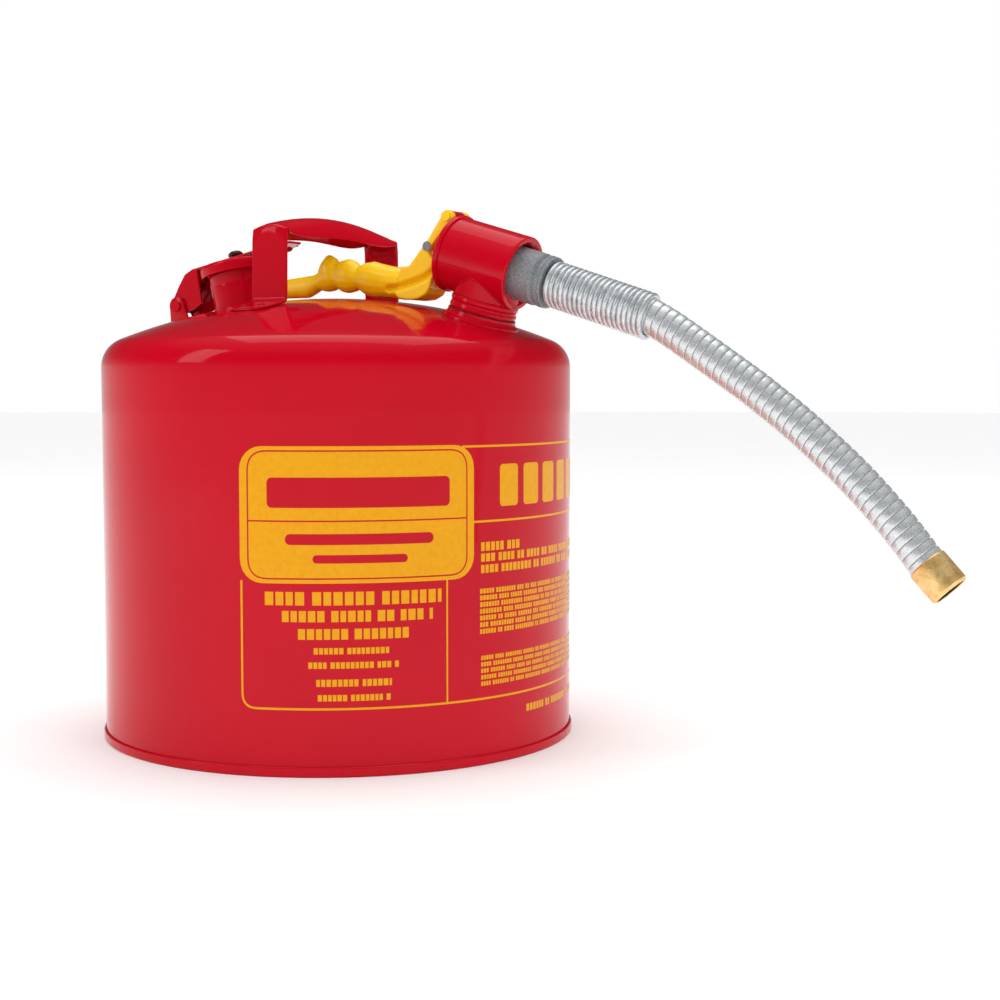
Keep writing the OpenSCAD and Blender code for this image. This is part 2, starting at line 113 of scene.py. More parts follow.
# The drum.
CHIME_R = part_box("bottom_pan")[1].x / MM
BODY_R = CHIME_R - 1.55
SIDE_TOP = 245.7
SHOULDER_R = 20
DOME_R = 390
DOME_CZ = SIDE_TOP - sqrt((DOME_R - SHOULDER_R) ** 2 - (BODY_R - SHOULDER_R) ** 2)

# The spout.
HOSE_R = 11.1
COUPLING_END = 44
GUARD_LEN = 74
GUARD_DROOP = radians(18.2)
TIP_LEN = 21

# Route of the metal hose: out of the coupling, under the spring guard, and
# down in one long sweep to the tip, in metres.
ROUTE = [Vector((x, 0, z)) for x, z in [
    (0.1530, 0.3014), (0.1590, 0.2996), (0.1650, 0.2978), (0.1760, 0.2946), (0.1880, 0.2912),
    (0.2000, 0.2876), (0.2120, 0.2838), (0.2240, 0.2796), (0.2340, 0.2752), (0.2460, 0.2684),
    (0.2580, 0.2606), (0.2730, 0.2506), (0.2880, 0.2405), (0.3010, 0.2316), (0.3130, 0.2227),
    (0.3250, 0.2136), (0.3350, 0.2054), (0.3450, 0.1968), (0.3550, 0.1880), (0.3640, 0.1796),
    (0.3720, 0.1716), (0.3800, 0.1632), (0.3880, 0.1544), (0.3960, 0.1449), (0.4050, 0.1336),
    (0.4120, 0.1260)]]

# ---- Materials ----


class Finish:
    """A Principled material and the nodes that give it detail."""

    def __init__(self, name, **sockets):
        self.material = bpy.data.materials.new(name)
        self.material.use_nodes = True
        self.tree = self.material.node_tree
        self.shader = self.tree.nodes["Principled BSDF"]
        for socket, value in sockets.items():
            self.shader.inputs[socket.replace("_", " ")].default_value = value
        self.place = self.add("ShaderNodeTexCoord").outputs["Object"]
        self.height = None

    def add(self, kind, inputs=None, **settings):
        node = self.tree.nodes.new(kind)
        for key, value in settings.items():
            setattr(node, key, value)
        for key, value in (inputs or {}).items():
            if isinstance(value, bpy.types.NodeSocket):
                self.tree.links.new(value, node.inputs[key])
            else:
                node.inputs[key].default_value = value
        return node

    def stretched(self, scale, turn=0.0):
        """The place, turned about Y and scaled, for marks that run one way."""
        return self.add("ShaderNodeMapping", {"Vector": self.place, "Scale": scale,
                                              "Rotation": (0, turn, 0)}).outputs["Vector"]

    def noise(self, scale, detail=3.0, rough=0.5, place=None):
        return self.add("ShaderNodeTexNoise", {"Vector": place or self.place, "Scale": scale,
                                               "Detail": detail, "Roughness": rough}).outputs["Fac"]

    def ramp(self, value, stops):
        node = self.add("ShaderNodeValToRGB", {"Fac": value})
        low, high = node.color_ramp.elements
        low.position, low.color = stops[0]
        high.position, high.color = stops[-1]
        for position, colour in stops[1:-1]:
            node.color_ramp.elements.new(position).color = colour
        return node.outputs["Color"]

    def spread(self, value, low, high, to_low, to_high):
        return self.add("ShaderNodeMapRange", {"Value": value, "From Min": low, "From Max": high,
                                               "To Min": to_low, "To Max": to_high}).outputs["Result"]

    def mix(self, share, first, second):
        node = self.add("ShaderNodeMix", data_type="RGBA")
        node.inputs["Factor"].default_value = 0
        self.tree.links.new(share, node.inputs["Factor"])
        self.tree.links.new(first, node.inputs[6])
        self.tree.links.new(second, node.inputs[7])
        return node.outputs[2]

    def bump(self, value, strength, distance):
        """Adds a layer of relief; distance is its depth in metres."""
        inputs = {"Height": value, "Strength": strength, "Distance": distance}
        if self.height is not None:
            inputs["Normal"] = self.height
        self.height = self.add("ShaderNodeBump", inputs).outputs["Normal"]

    def done(self, colour=None, rough=None):
        if colour is not None:
            self.tree.links.new(colour, self.shader.inputs["Base Color"])
        if rough is not None:
            self.tree.links.new(rough, self.shader.inputs["Roughness"])
        if self.height is not None:
            self.tree.links.new(self.height, self.shader.inputs["Normal"])
        return self.material


def rgb(red, green, blue):
    """A display colour, 0 to 255, as linear light."""
    def linear(c):
        c /= 255
        return c / 12.92 if c <= 0.04045 else ((c + 0.055) / 1.055) ** 2.4
    return (linear(red), linear(green), linear(blue), 1)


def red_paint():
    """Gloss enamel: a faint orange peel, slow changes of depth, and scuffs low on the chime."""
    f = Finish("red_paint", Coat_Weight=0.2, Coat_Roughness=0.02, Specular_IOR_Level=0.1)
    slow = f.noise(9, 3)
    colour = f.ramp(slow, [(0.3, rgb(184, 2, 26)), (0.7, rgb(192, 4, 30))])
    height = f.add("ShaderNodeSeparateXYZ", {"Vector": f.place}).outputs["Z"]
    low = f.spread(height, 0.0, 0.0035, 1.0, 0.0)
    speckle = f.spread(f.noise(420, 4, 0.7), 0.56, 0.66, 0.0, 1.0)
    scuff = f.add("ShaderNodeMath", {0: low, 1: speckle}, operation="MULTIPLY").outputs["Value"]
    worn = f.ramp(slow, [(0.0, rgb(96, 20, 24)), (1.0, rgb(120, 60, 56))])
    f.bump(f.noise(260, 2), 0.04, 0.0003)
    f.bump(f.noise(11, 2), 0.08, 0.0008)
    return f.done(f.mix(scuff, colour, worn), f.spread(f.noise(60, 4), 0.3, 0.7, 0.09, 0.13))


def yellow_coat():
    """Powder coat on a casting: a fine pebble, with darker hollows."""
    f = Finish("yellow_coat", Coat_Weight=0.25, Coat_Roughness=0.1, Specular_IOR_Level=0.25)
    colour = f.ramp(f.noise(35, 4), [(0.3, rgb(252, 198, 6)), (0.7, rgb(255, 210, 12))])
    f.bump(f.noise(900, 2), 0.12, 0.0003)
    f.bump(f.noise(90, 3), 0.2, 0.0006)
    return f.done(colour, f.spread(f.noise(200, 3), 0.3, 0.7, 0.28, 0.4))


def yellow_print():
    """Screen-printed enamel: a little thin in places, over the red."""
    f = Finish("yellow_print", Coat_Weight=0.15, Coat_Roughness=0.08, Specular_IOR_Level=0.12)
    colour = f.ramp(f.noise(320, 5, 0.7), [(0.2, rgb(220, 146, 4)), (0.6, rgb(228, 160, 6))])
    f.bump(f.noise(1400, 2), 0.1, 0.0001)
    return f.done(colour, f.spread(f.noise(120, 3), 0.3, 0.7, 0.28, 0.38))


def cast_zinc():
    """A rough sand-grey casting."""
    f = Finish("cast_zinc", Metallic=0.5)
    grain = f.noise(1100, 5, 0.75)
    colour = f.ramp(grain, [(0.3, rgb(98, 104, 108)), (0.7, rgb(180, 185, 188))])
    f.bump(grain, 0.7, 0.0007)
    f.bump(f.noise(300, 3), 0.5, 0.0008)
    return f.done(colour, f.spread(f.noise(500, 3), 0.3, 0.7, 0.42, 0.68))


def galvanised():
    """Bright zinc strip with drawn streaks."""
    f = Finish("galvanised_strip", Metallic=0.6)
    streak = f.noise(900, 3, 0.5, f.stretched((1, 0.25, 1)))
    colour = f.ramp(streak, [(0.25, rgb(206, 210, 213)), (0.52, rgb(220, 224, 226)),
                             (0.75, rgb(234, 237, 238))])
    f.bump(f.noise(1500, 2, place=f.stretched((1, 0.15, 1))), 0.25, 0.0002)
    return f.done(colour, f.spread(f.noise(700, 3), 0.3, 0.7, 0.22, 0.36))


def spring_wire():
    """Bright drawn wire."""
    f = Finish("spring_wire", Metallic=0.55)
    colour = f.ramp(f.noise(260, 3), [(0.3, rgb(186, 193, 196)), (0.7, rgb(228, 232, 234))])
    f.bump(f.noise(2200, 2), 0.08, 0.0001)
    return f.done(colour, f.spread(f.noise(420, 3), 0.3, 0.7, 0.16, 0.3))


def plated_steel():
    """Zinc plating with fine turning marks."""
    f = Finish("plated_steel", Metallic=0.95)
    colour = f.ramp(f.noise(300, 3), [(0.3, rgb(142, 146, 150)), (0.7, rgb(206, 208, 208))])
    f.bump(f.noise(1800, 2, place=f.stretched((1, 0.1, 1))), 0.25, 0.0002)
    return f.done(colour, f.spread(f.noise(600, 3), 0.3, 0.7, 0.28, 0.46))


def steel_screen():
    f = Finish("steel_screen", Metallic=0.9)
    colour = f.ramp(f.noise(500, 3), [(0.3, rgb(112, 114, 116)), (0.7, rgb(170, 172, 174))])
    f.bump(f.noise(2400, 2), 0.2, 0.0002)
    return f.done(colour, f.spread(f.noise(800, 3), 0.3, 0.7, 0.35, 0.55))


def dark_steel():
    """Blackened spring wire and rivets, with a little red overspray."""
    f = Finish("dark_steel", Metallic=0.6)
    colour = f.ramp(f.noise(700, 4), [(0.35, rgb(44, 30, 32)), (0.6, rgb(70, 44, 46)),
                                      (0.8, rgb(120, 24, 32))])
    f.bump(f.noise(1500, 3), 0.3, 0.0002)
    return f.done(colour, f.spread(f.noise(500, 3), 0.3, 0.7, 0.3, 0.5))


def brass():
    """Machined brass, dulled: fine turning lines across its axis, and soft stains."""
    f = Finish("brass", Metallic=0.65)
    fall = atan2(tip_mount["axis"][0], tip_mount["axis"][2])
    lines = f.noise(900, 2, place=f.stretched((0.12, 0.12, 3.0), -fall))
    stain = f.noise(130, 5, 0.65)
    colour = f.ramp(stain, [(0.28, rgb(206, 152, 84)), (0.5, rgb(240, 200, 130)),
                            (0.75, rgb(252, 230, 172))])
    f.bump(lines, 0.35, 0.0002)
    f.bump(f.noise(500, 4), 0.25, 0.0003)
    return f.done(colour, f.spread(f.noise(380, 4), 0.3, 0.7, 0.24, 0.44))


def black_rubber():
    f = Finish("black_rubber", Specular_IOR_Level=0.3)
    colour = f.ramp(f.noise(400, 3), [(0.3, rgb(20, 20, 21)), (0.7, rgb(42, 42, 43))])
    f.bump(f.noise(1600, 3), 0.4, 0.0002)
    return f.done(colour, f.spread(f.noise(600, 3), 0.3, 0.7, 0.6, 0.8))


def pale_floor():
    f = Finish("pale_floor", Specular_IOR_Level=0.1)
    colour = f.ramp(f.noise(3, 3), [(0.3, (0.975, 0.975, 0.975, 1)), (0.7, (0.99, 0.99, 0.99, 1))])
    return f.done(colour, f.spread(f.noise(20, 3), 0.3, 0.7, 0.7, 0.8))


RED = red_paint()
YELLOW = yellow_coat()
PRINT = yellow_print()
ZINC = cast_zinc()
STRIP = galvanised()
WIRE = spring_wire()
PLATED = plated_steel()
SCREEN = steel_screen()
DARK = dark_steel()
BRASS = brass()
RUBBER = black_rubber()

# ---- Mesh building ----


def rounded(points, steps=5):
    """A flat line through (a, b) or (a, b, radius) points, with corners of those radii."""
    line = []
    count = len(points)
    for i, point in enumerate(points):
        corner = Vector(point[:2])
        radius = point[2] if len(point) > 2 else 0
        if not radius:
            line.append(corner)
            continue
        back = Vector(points[i - 1][:2]) - corner
        on = Vector(points[(i + 1) % count][:2]) - corner
        cut = min(radius / tan(back.angle(on) / 2), 0.48 * back.length, 0.48 * on.length)
        start = corner + back.normalized() * cut
        end = corner + on.normalized() * cut
        for k in range(steps + 1):
            t = k / steps
            line.append((1 - t) ** 2 * start + 2 * t * (1 - t) * corner + t * t * end)
    return line


def split_long(line, longest):
    """The line with its long stretches cut into shorter ones."""
    cut = [line[0]]
    for a, b in zip(line, line[1:]):
        parts = max(1, round((b - a).length / longest))
        cut += [a.lerp(b, k / parts) for k in range(1, parts + 1)]
    return cut


def arc(x, y, radius, start, end, steps):
    """Points along an arc, between two angles in degrees."""
    angles = [radians(start + (end - start) * k / steps) for k in range(steps + 1)]
    return [(x + radius * cos(a), y + radius * sin(a)) for a in angles]


class Shape:
    """Gathers surfaces and makes one piece of them."""

    def __init__(self):
        self.points = []
        self.faces = []

    def grid(self, rows, place=CAN, wrap=True):
        """Quads between rows that hold the same number of points."""
        first = len(self.points)
        width = len(rows[0])
        self.points += [place @ Vector(p) for row in rows for p in row]
        for i in range(len(rows) - 1):
            for j in range(width if wrap else width - 1):
                k = (j + 1) % width
                a, b = first + i * width, first + (i + 1) * width
                self.faces.append((a + j, a + k, b + k, b + j))
        return first, width

    def cap(self, first, width):
        self.faces.append(tuple(range(first, first + width)))

    def lathe(self, line, place, steps=96):
        """A turned surface; the line holds (radius, height) points."""
        angles = [radians(360.0 * k / steps) for k in range(steps)]
        rows = [[(max(p[0], 0.0) * cos(a), max(p[0], 0.0) * sin(a), p[1]) for a in angles] for p in line]
        self.grid(rows, place)

    def tube(self, line, radius, place=CAN, sides=12):
        """A round wire along a line of points."""
        line = [Vector(p) for p in line]
        normal = None
        rows = []
        for i, point in enumerate(line):
            run = (line[min(i + 1, len(line) - 1)] - line[max(i - 1, 0)]).normalized()
            normal = run.orthogonal() if normal is None else normal
            normal = (normal - normal.dot(run) * run).normalized()
            side = run.cross(normal)
            turns = [2 * pi * k / sides for k in range(sides)]
            rows.append([point + radius * (cos(t) * normal + sin(t) * side) for t in turns])
        first, width = self.grid(rows, place)
        self.cap(first, width)
        self.cap(first + width * (len(rows) - 1), width)

    def prism(self, outline, y0, y1, place, edge=0.35):
        """A plate with eased edges: an outline in x and z, from y0 to y1."""
        flat = [Vector(p[:2]) for p in outline]
        pulled = inset(flat, edge)
        rows = [[(p.x, y, p.y) for p in line] for y, line in
                ((y0, pulled), (y0 + edge * 0.3, inset(flat, edge * 0.3)), (y0 + edge, flat),
                 (y1 - edge, flat), (y1 - edge * 0.3, inset(flat, edge * 0.3)), (y1, pulled))]
        first, width = self.grid(rows, place)
        self.cap(first, width)
        self.cap(first + width * (len(rows) - 1), width)

    def piece(self, name, body, slot, finish, replaces=(), crease=38):
        mesh = bpy.data.meshes.new(name)
        mesh.from_pydata([tuple(p) for p in self.points], [], self.faces)
        obj = bpy.data.objects.new(name, mesh)
        SCENE.collection.objects.link(obj)
        tidy_mesh(mesh, crease)
        return settle(obj, body, finish, replaces)


def inset(flat, by):
    """An outline pulled inwards by a small distance."""
    area = sum(a.cross(b) for a, b in zip(flat, flat[1:] + flat[:1]))
    way = 1 if area > 0 else -1
    pulled = []
    for i, p in enumerate(flat):
        run = flat[(i + 1) % len(flat)] - flat[i - 1]
        pulled.append(p + way * by * Vector((-run.y, run.x)).normalized())
    return pulled


def tidy_mesh(mesh, crease):
    """Joins points that meet, turns the faces outwards, and shades smooth up to the crease angle."""
    bm = bmesh.new()
    bm.from_mesh(mesh)
    bmesh.ops.remove_doubles(bm, verts=bm.verts, dist=2e-6)
    bmesh.ops.dissolve_degenerate(bm, dist=1e-6, edges=bm.edges)
    bmesh.ops.recalc_face_normals(bm, faces=bm.faces)
    for face in bm.faces:
        face.smooth = True
    for edge in bm.edges:
        edge.smooth = len(edge.link_faces) == 2 and edge.calc_face_angle() < radians(crease)
    bm.to_mesh(mesh)
    bm.free()


def settle(obj, body, finish, replaces):
    obj.data.materials.clear()
    obj.data.materials.append(finish)
    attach(obj, body)
    if replaces:
        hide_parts(*replaces)
    return obj


def apply_modifiers(obj):
    """Swaps the mesh for what its modifiers make of it."""
    graph = bpy.context.evaluated_depsgraph_get()
    made = bpy.data.meshes.new_from_object(obj.evaluated_get(graph))
    obj.modifiers.clear()
    obj.data = made


def cut_holes(obj, cutters):
    """Takes the cutting shapes out of the piece."""
    for cutter in cutters:
        tool = bpy.data.objects.new("cutter", bpy.data.meshes.new("cutter"))
        tool.data.from_pydata([tuple(p) for p in cutter.points], [], cutter.faces)
        SCENE.collection.objects.link(tool)
        tidy_mesh(tool.data, 38)
        step = obj.modifiers.new("cut", "BOOLEAN")
        step.operation = "DIFFERENCE"
        step.solver = "EXACT"
        step.object = tool
        apply_modifiers(obj)
        bpy.data.objects.remove(tool)


def softened(node, name, voxel, rounds, body, finish):
    """A node's solid with its edges run soft, as on a casting or under thick paint."""
    source = frame["nodes"][node].data.copy()
    obj = bpy.data.objects.new(name, source)
    SCENE.collection.objects.link(obj)
    tidy_mesh(source, 38)
    remesh = obj.modifiers.new("remesh", "REMESH")
    remesh.mode = "VOXEL"
    remesh.voxel_size = voxel * MM
    remesh.use_smooth_shade = True
    smooth = obj.modifiers.new("smooth", "SMOOTH")
    smooth.factor = 0.5
    smooth.iterations = rounds
    apply_modifiers(obj)
    tidy_mesh(obj.data, 60)
    return settle(obj, body, finish, [node])


def helix(radius, z0, z1, turns, start=0.0, steps=32):
    """Points of a coil about z."""
    count = round(turns * steps)
    return [Vector((radius * cos(start + 2 * pi * turns * k / count),
                    radius * sin(start + 2 * pi * turns * k / count),
                    z0 + (z1 - z0) * k / count)) for k in range(count + 1)]


def bend(points, steps=8):
    """A smooth line through a few points."""
    points = [Vector(p) for p in points]
    padded = [2 * points[0] - points[1]] + points + [2 * points[-1] - points[-2]]
    line = []
    for a, b, c, d in zip(padded, padded[1:], padded[2:], padded[3:]):
        for k in range(steps):
            t = k / steps
            line.append(0.5 * (2 * b + (c - a) * t + (2 * a - 5 * b + 4 * c - d) * t * t
                               + (3 * b - a - 3 * c + d) * t ** 3))
    return line + [points[-1]]


# ---- Spout ----


def along(line, distance):
    """The point and direction at a distance along a line of points."""
    for a, b in zip(line, line[1:]):
        step = (b - a).length
        if distance <= step:
            return a.lerp(b, distance / step), (b - a) / step
        distance -= step
    run = (line[-1] - line[-2]).normalized()
    return line[-1] + run * distance, run


def make_hose():
    """Interlocked strip wound into a hose: each turn laps the next at a narrow seam."""
    pitch = 0.0055
    around = 56
    lap = [(0.0, -0.9), (0.04, -1.1), (0.09, -0.3), (0.13, 0.0), (0.3, 0.1), (0.5, 0.12),
           (0.7, 0.08), (0.86, 0.0), (0.93, -0.08), (0.97, -0.25), (1.0, -0.9)]
    line = bend(ROUTE, 6)
    length = sum((b - a).length for a, b in zip(line, line[1:]))
    turns = int(length / pitch) + 2
    table = [along(line, length * k / 1600) for k in range(1601)]
    shape = Shape()
    rows = []
    for k in range(turns * around + 1):
        t = 2 * pi * k / around
        row = []
        for share, rise in lap:
            s = (k / around - 1 + share) * pitch
            held = min(max(s, 0.0), length)
            point, run = table[round(held / length * 1600)]
            point = point + run * (held - round(held / length * 1600) * length / 1600)
            up = Vector((-run.z, 0, run.x))
            row.append(point + (HOSE_R + rise) * MM * (cos(t) * Vector((0, 1, 0)) + sin(t) * up))
        rows.append(row)
    shape.grid(rows, Matrix.Identity(4), wrap=False)
    return shape.piece("flexible_hose", "can", "galvanised_strip", STRIP, ["flex_hose"], crease=32)


def make_guard():
    """The spring guard: a close coil of bright wire over the hose's root."""
    out = VALVE @ Vector((0, 0, COUPLING_END - 0.6))
    run = Vector((cos(GUARD_DROOP), 0, -sin(GUARD_DROOP)))
    place = local_frame(out, run)
    shape = Shape()
    shape.tube(helix(13.03, 2.0, GUARD_LEN - 1.1, 20, pi / 2), 1.75, place, 14)
    return shape.piece("guard_spring", "can", "spring_wire", WIRE, ["spring_guard"])


def make_coupling():
    """The rough cast collar that holds the hose in the valve."""
    outline = [(9.5, 12.1), (17.0, 12.1), (17.0, 24, 0.8), (16.9, 35.6, 1.2), (15.4, 37.4, 0.8),
               (15.0, 39.0), (15.0, COUPLING_END), (11.3, COUPLING_END), (11.3, 30), (9.5, 30), (9.5, 12.1)]
    line = split_long(rounded(outline, 4), 0.8)
    rows = []
    for radius, z in line:
        row = []
        for k in range(120):
            t = 2 * pi * k / 120
            at = Vector((radius * cos(t), radius * sin(t), z))
            rough = noise.fractal(at * 0.55, 1.0, 2.0, 3) if 22 < z < 37 and radius > 14 else 0.0
            row.append(at - Vector((cos(t), sin(t), 0)) * max(0.0, 0.22 * rough + 0.12))
        rows.append(row)
    shape = Shape()
    shape.grid(rows, VALVE)
    return shape.piece("hose_collar", "can", "cast_zinc", ZINC, ["hose_coupling"], crease=50)


def make_ferrule():
    """The bright ferrule that clamps the coil's first turn."""
    shape = Shape()
    outline = [(15.1, 39.0), (16.0, 39.0), (16.7, 39.4, 0.4), (16.6, 41.2, 0.3), (16.2, 41.8, 0.3),
               (16.6, 42.4, 0.3), (16.4, COUPLING_END, 0.4), (15.1, COUPLING_END), (15.1, 39.0)]
    shape.lathe(rounded(outline), VALVE)
    return shape.piece("guard_ferrule", "can", "plated_steel", ZINC, ["spring_ferrule"])


def make_tip():
    """The brass tip, with chamfered ends and a bore."""
    r = 12.1
    shape = Shape()
    outline = [(11.35, 0.3), (r - 0.9, 0.0, 0.2), (r, 1.0, 0.4), (r, 9.0), (r, TIP_LEN - 1.7, 0.5),
               (r - 1.5, TIP_LEN, 0.3), (9.9, TIP_LEN, 0.2), (9.7, TIP_LEN - 0.4), (9.7, 15.6, 0.3),
               (11.35, 15.2), (11.35, 0.3)]
    shape.lathe(rounded(outline), TIP, 112)
    return shape.piece("spout_tip", "can", "brass", BRASS, ["brass_tip"])


def make_bore_shade():
    """A thin dark sleeve just inside the tip's bore, in the black rubber finish: painted shade for the dark inside
    of the bore.
    """
    outer, inner, root = 9.66, 9.3, 15.9
    shape = Shape()
    shape.lathe([(outer, root), (outer, TIP_LEN - 0.5), (inner, TIP_LEN - 0.9), (inner, root),
                 (outer, root)], TIP, 64)
    return shape.piece("tip_bore_shade", "can", "black_rubber", RUBBER)


hose = make_hose()
guard = make_guard()
collar = make_coupling()
ferrule = make_ferrule()
tip = make_tip()
# painted shade: a dark sleeve of the black rubber finish inside the tip's bore
bore_shade = make_bore_shade()

# ---- Can body ----


def dome_line(inside):
    """The shoulder and dome, from the side to the middle."""
    shoulder_end = degrees(atan2(SIDE_TOP - DOME_CZ, BODY_R - SHOULDER_R))
    line = arc(BODY_R - SHOULDER_R, SIDE_TOP, SHOULDER_R - inside, 0, shoulder_end, 18)
    return line + arc(0, DOME_CZ, DOME_R - inside, shoulder_end, 90, 64)[1:]


def hole(place, radius, z0, z1):
    shape = Shape()
    shape.lathe([(0, z0), (radius, z0), (radius, z1), (0, z1)], place, 72)
    return shape


def make_shell():
    sheet = 0.8
    side = split_long([Vector((BODY_R, 2.0)), Vector((BODY_R, SIDE_TOP))], 6)
    line = [(BODY_R - sheet, 2.0)] + [tuple(p) for p in side[:-1]] + dome_line(0) + dome_line(sheet)[::-1]
    shape = Shape()
    shape.lathe(line + [(BODY_R - sheet, 2.0)], CAN, 256)
    shell = shape.piece("can_shell", "can", "red_paint", RED, ["body_shell"], crease=30)
    cut_holes(shell, [hole(FILL, 20.9, -8, 8), hole(POUR, 17.3, -8, 8)])
    tidy_mesh(shell.data, 30)


def make_chime():
    """The rolled seam round the foot, and the raised bottom."""
    r = CHIME_R
    line = rounded([(0, 6.0), (BODY_R - 3.6, 6.0, 1.0), (BODY_R - 1.7, 4.0, 1.0), (BODY_R - 1.7, 0.0, 0.6),
                    (r - 0.5, 0.0, 0.6), (r, 1.0, 0.5), (r, 5.6, 0.9), (r - 1.1, 6.5, 0.4),
                    (BODY_R + 0.02, 5.7)], 6)
    inner = [Vector(p) for p in [(BODY_R + 0.02, 2.0), (BODY_R - 0.84, 1.96), (BODY_R - 0.84, 6.8),
                                 (0, 6.8)]]
    shape = Shape()
    shape.lathe([tuple(p) for p in line + inner], CAN, 256)
    shape.piece("rolled_chime", "can", "red_paint", RED, ["bottom_pan"], crease=34)


make_shell()
make_chime()

# ---- Printed panel ----


class Print:
    """Flat ink on the drum's side. A point is its azimuth in degrees and its height."""

    def __init__(self, proud=0.05):
        self.shape = Shape()
        self.radius = BODY_R + proud

    def at(self, point):
        a = radians(point[0])
        return (self.radius * cos(a), self.radius * sin(a), point[1])

    def width(self, degrees_round):
        return radians(degrees_round) * BODY_R

    def block(self, left, right, low, high, corner=0.6):
        """A filled panel with rounded corners."""
        corner = min(corner, (high - low) / 2)
        steps = 6
        heights = [(low + corner - corner * cos(pi / 2 * k / steps),
                    corner - corner * sin(pi / 2 * k / steps)) for k in range(steps + 1)]
        heights += [(high + low - z, cut) for z, cut in reversed(heights)]
        columns = max(2, round((right - left) / 1.2))
        rows = []
        for z, cut in heights:
            trim = degrees(cut / BODY_R)
            a, b = left + trim, right - trim
            rows.append([self.at((a + (b - a) * k / columns, z)) for k in range(columns + 1)])
        self.shape.grid(rows, CAN, wrap=False)

    def stroke(self, points, width):
        """A line of even width, with the corners that its points ask for."""
        flat = [(self.width(p[0]), *p[1:]) for p in points]
        line = split_long(rounded(flat, 8), 4)
        rows = []
        for i, p in enumerate(line):
            run = (line[min(i + 1, len(line) - 1)] - line[max(i - 1, 0)]).normalized()
            side = Vector((-run.y, run.x)) * width / 2
            rows.append([self.at((degrees(q.x / BODY_R), q.y)) for q in (p + side, p - side)])
        self.shape.grid(rows, CAN, wrap=False)

    def row(self, rng, left, right, low, high):
        """Short plain blocks, grouped like words, in place of a line of print."""
        tall = degrees((high - low) / BODY_R)
        start = left
        word = rng.randint(3, 8)
        while start < right:
            end = min(start + tall * rng.uniform(0.5, 0.68), right)
            if end - start > 0.3 * tall:
                edges = [[self.at((start, z)), self.at((end, z))] for z in (low, high)]
                self.shape.grid(edges, CAN, wrap=False)
            word -= 1
            start = end + tall * (0.17 if word else 0.6)
            word = word or rng.randint(2, 9)

    def piece(self, name, slot, finish):
        return self.shape.piece(name, "can", slot, finish)


def make_print():
    """A plain panel, its frame, and blocks where small print would run."""
    rng = random.Random(51)
    ink = Print()
    ink.block(-76.8, -23.4, 116.5, 198.0, 14)
    frame_right = 60
    ink.stroke([(-76.5, 118), (-76.5, 41.2, 9), (frame_right, 41.2)], 1.3)
    ink.stroke([(-30.4, 118), (-30.4, 41.2)], 1.1)
    ink.stroke([(-26.5, 196.9), (frame_right, 196.9)], 1.3)
    ink.stroke([(-23.5, 150.8), (frame_right, 150.8)], 1.3)
    ink.stroke([(frame_right, 197.5), (frame_right, 40.6)], 1.3)
    for k in range(6):
        ink.block(-15.8 + 8.1 * k, -9.8 + 8.1 * k, 159.5, 185.5, 2.5)
    for low, high, left, right in [(103.5, 111.5, -71.1, -31.8), (93.5, 100.2, -67.3, -33.9),
                                   (83.0, 89.4, -63.8, -39.3), (74.2, 78.0, -60.4, -43.0),
                                   (65.6, 69.4, -61.6, -41.7), (54.8, 59.0, -59.9, -43.4),
                                   (46.0, 49.8, -59.6, -43.6), (132.6, 138.0, -21.4, -9.0),
                                   (126.0, 131.0, -21.4, 33), (119.0, 124.0, -21.4, 36),
                                   (28.0, 32.6, -6.5, 40)]:
        ink.row(rng, left, right, low, high)
    for k in range(7):
        ink.row(rng, -21.7, 36 + 3 * (k % 3), 106.4 - 4.15 * k, 109.4 - 4.15 * k)
    for k in range(5):
        ink.row(rng, -21.4, 38 + 2 * (k % 2), 65.2 - 4.0 * k, 67.9 - 4.0 * k)
    ink.piece("printed_panel", "yellow_print", PRINT)
    trim = Print(0.09)
    trim.stroke([(-74.9, 157.2), (-74.9, 195.2, 12), (-25.3, 195.2, 12), (-25.3, 119.3, 12),
                 (-74.9, 119.3, 12), (-74.9, 157.2)], 0.9)
    trim.stroke([(-74.9, 153.6), (-25.3, 153.6)], 0.9)
    trim.block(-70.5, -29.7, 161.5, 179.5, 3)
    trim.block(-66.5, -33.7, 139.5, 146.0, 3)
    trim.block(-60.5, -39.7, 128.5, 133.5, 2.4)
    trim.piece("panel_trim", "red_paint", RED)


make_print()

# ---- Carry handle ----


